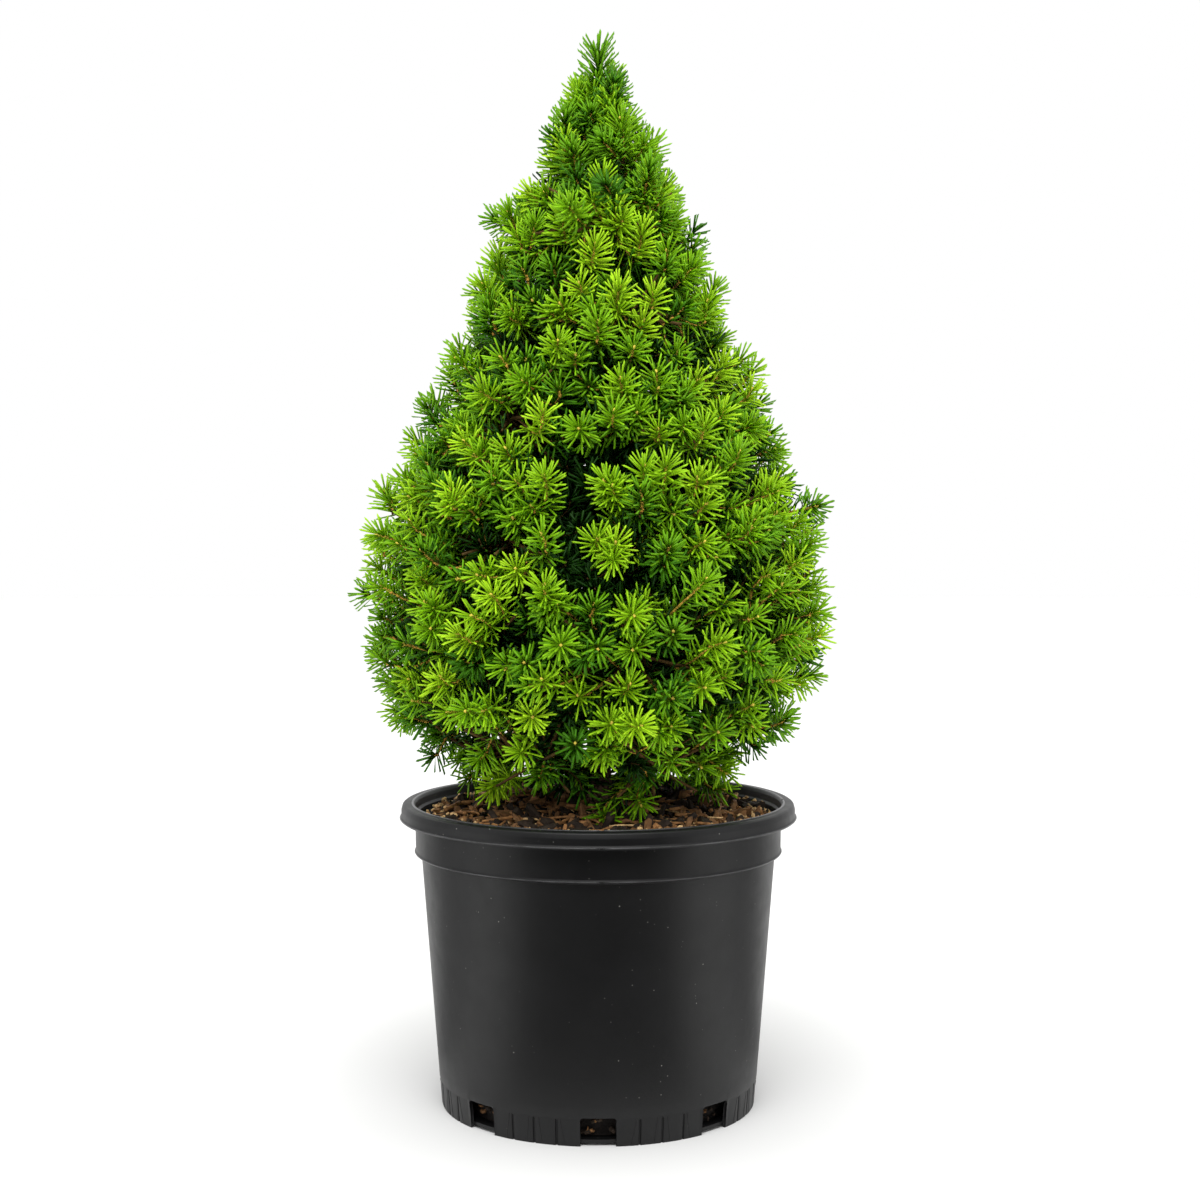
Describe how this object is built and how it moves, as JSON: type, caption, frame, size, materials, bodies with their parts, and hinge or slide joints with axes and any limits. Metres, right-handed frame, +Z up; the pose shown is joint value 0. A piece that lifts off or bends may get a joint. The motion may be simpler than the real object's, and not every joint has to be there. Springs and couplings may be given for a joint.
{
  "type": "potted dwarf alberta spruce",
  "caption": "Young dwarf alberta spruce: a dense, cone-shaped conifer growing in a round black nursery pot with drain holes at its foot.",
  "frame": {"origin": "on the ground, at the centre of the pot's underside", "axes": "+Z up along the trunk, and the front is -Y, with a drain hole of the pot facing it"},
  "size_m": [0.2885, 0.2886, 0.6433],
  "materials": {
    "moulded_plastic": "black injection-moulded plastic with a soft sheen, lighter where the light grazes it",
    "bark_mix": "moist potting mix of dark and reddish bark chips with splinters and tan grains",
    "bark": "rough grey-brown bark in small flaking scales",
    "needles": "fresh green needles, yellow-green at the tips of the shoots and darker inside the crown"
  },
  "bodies": {
    "root": {"pot": "moulded_plastic", "potting_mix": "bark_mix", "trunk": "bark", "bough_1_1": "bark", "foliage_1_1": "needles", "bough_1_2": "bark", "foliage_1_2": "needles", "bough_1_3": "bark", "foliage_1_3": "needles", "bough_1_4": "bark", "foliage_1_4": "needles", "bough_1_5": "bark", "foliage_1_5": "needles", "bough_1_6": "bark", "foliage_1_6": "needles", "bough_2_1": "bark", "foliage_2_1": "needles", "bough_2_2": "bark", "foliage_2_2": "needles", "bough_2_3": "bark", "foliage_2_3": "needles", "bough_2_4": "bark", "foliage_2_4": "needles", "bough_2_5": "bark", "foliage_2_5": "needles", "bough_2_6": "bark", "foliage_2_6": "needles", "bough_3_1": "bark", "foliage_3_1": "needles", "bough_3_2": "bark", "foliage_3_2": "needles", "bough_3_3": "bark", "foliage_3_3": "needles", "bough_3_4": "bark", "foliage_3_4": "needles", "bough_3_5": "bark", "foliage_3_5": "needles", "bough_4_1": "bark", "foliage_4_1": "needles", "bough_4_2": "bark", "foliage_4_2": "needles", "bough_4_3": "bark", "foliage_4_3": "needles", "bough_4_4": "bark", "foliage_4_4": "needles", "bough_5_1": "bark", "foliage_5_1": "needles", "bough_5_2": "bark", "foliage_5_2": "needles", "bough_5_3": "bark", "foliage_5_3": "needles", "bough_6_1": "bark", "foliage_6_1": "needles", "bough_6_2": "bark", "foliage_6_2": "needles", "bough_6_3": "bark", "foliage_6_3": "needles", "foliage_leader": "needles"}
  },
  "joints": []
}
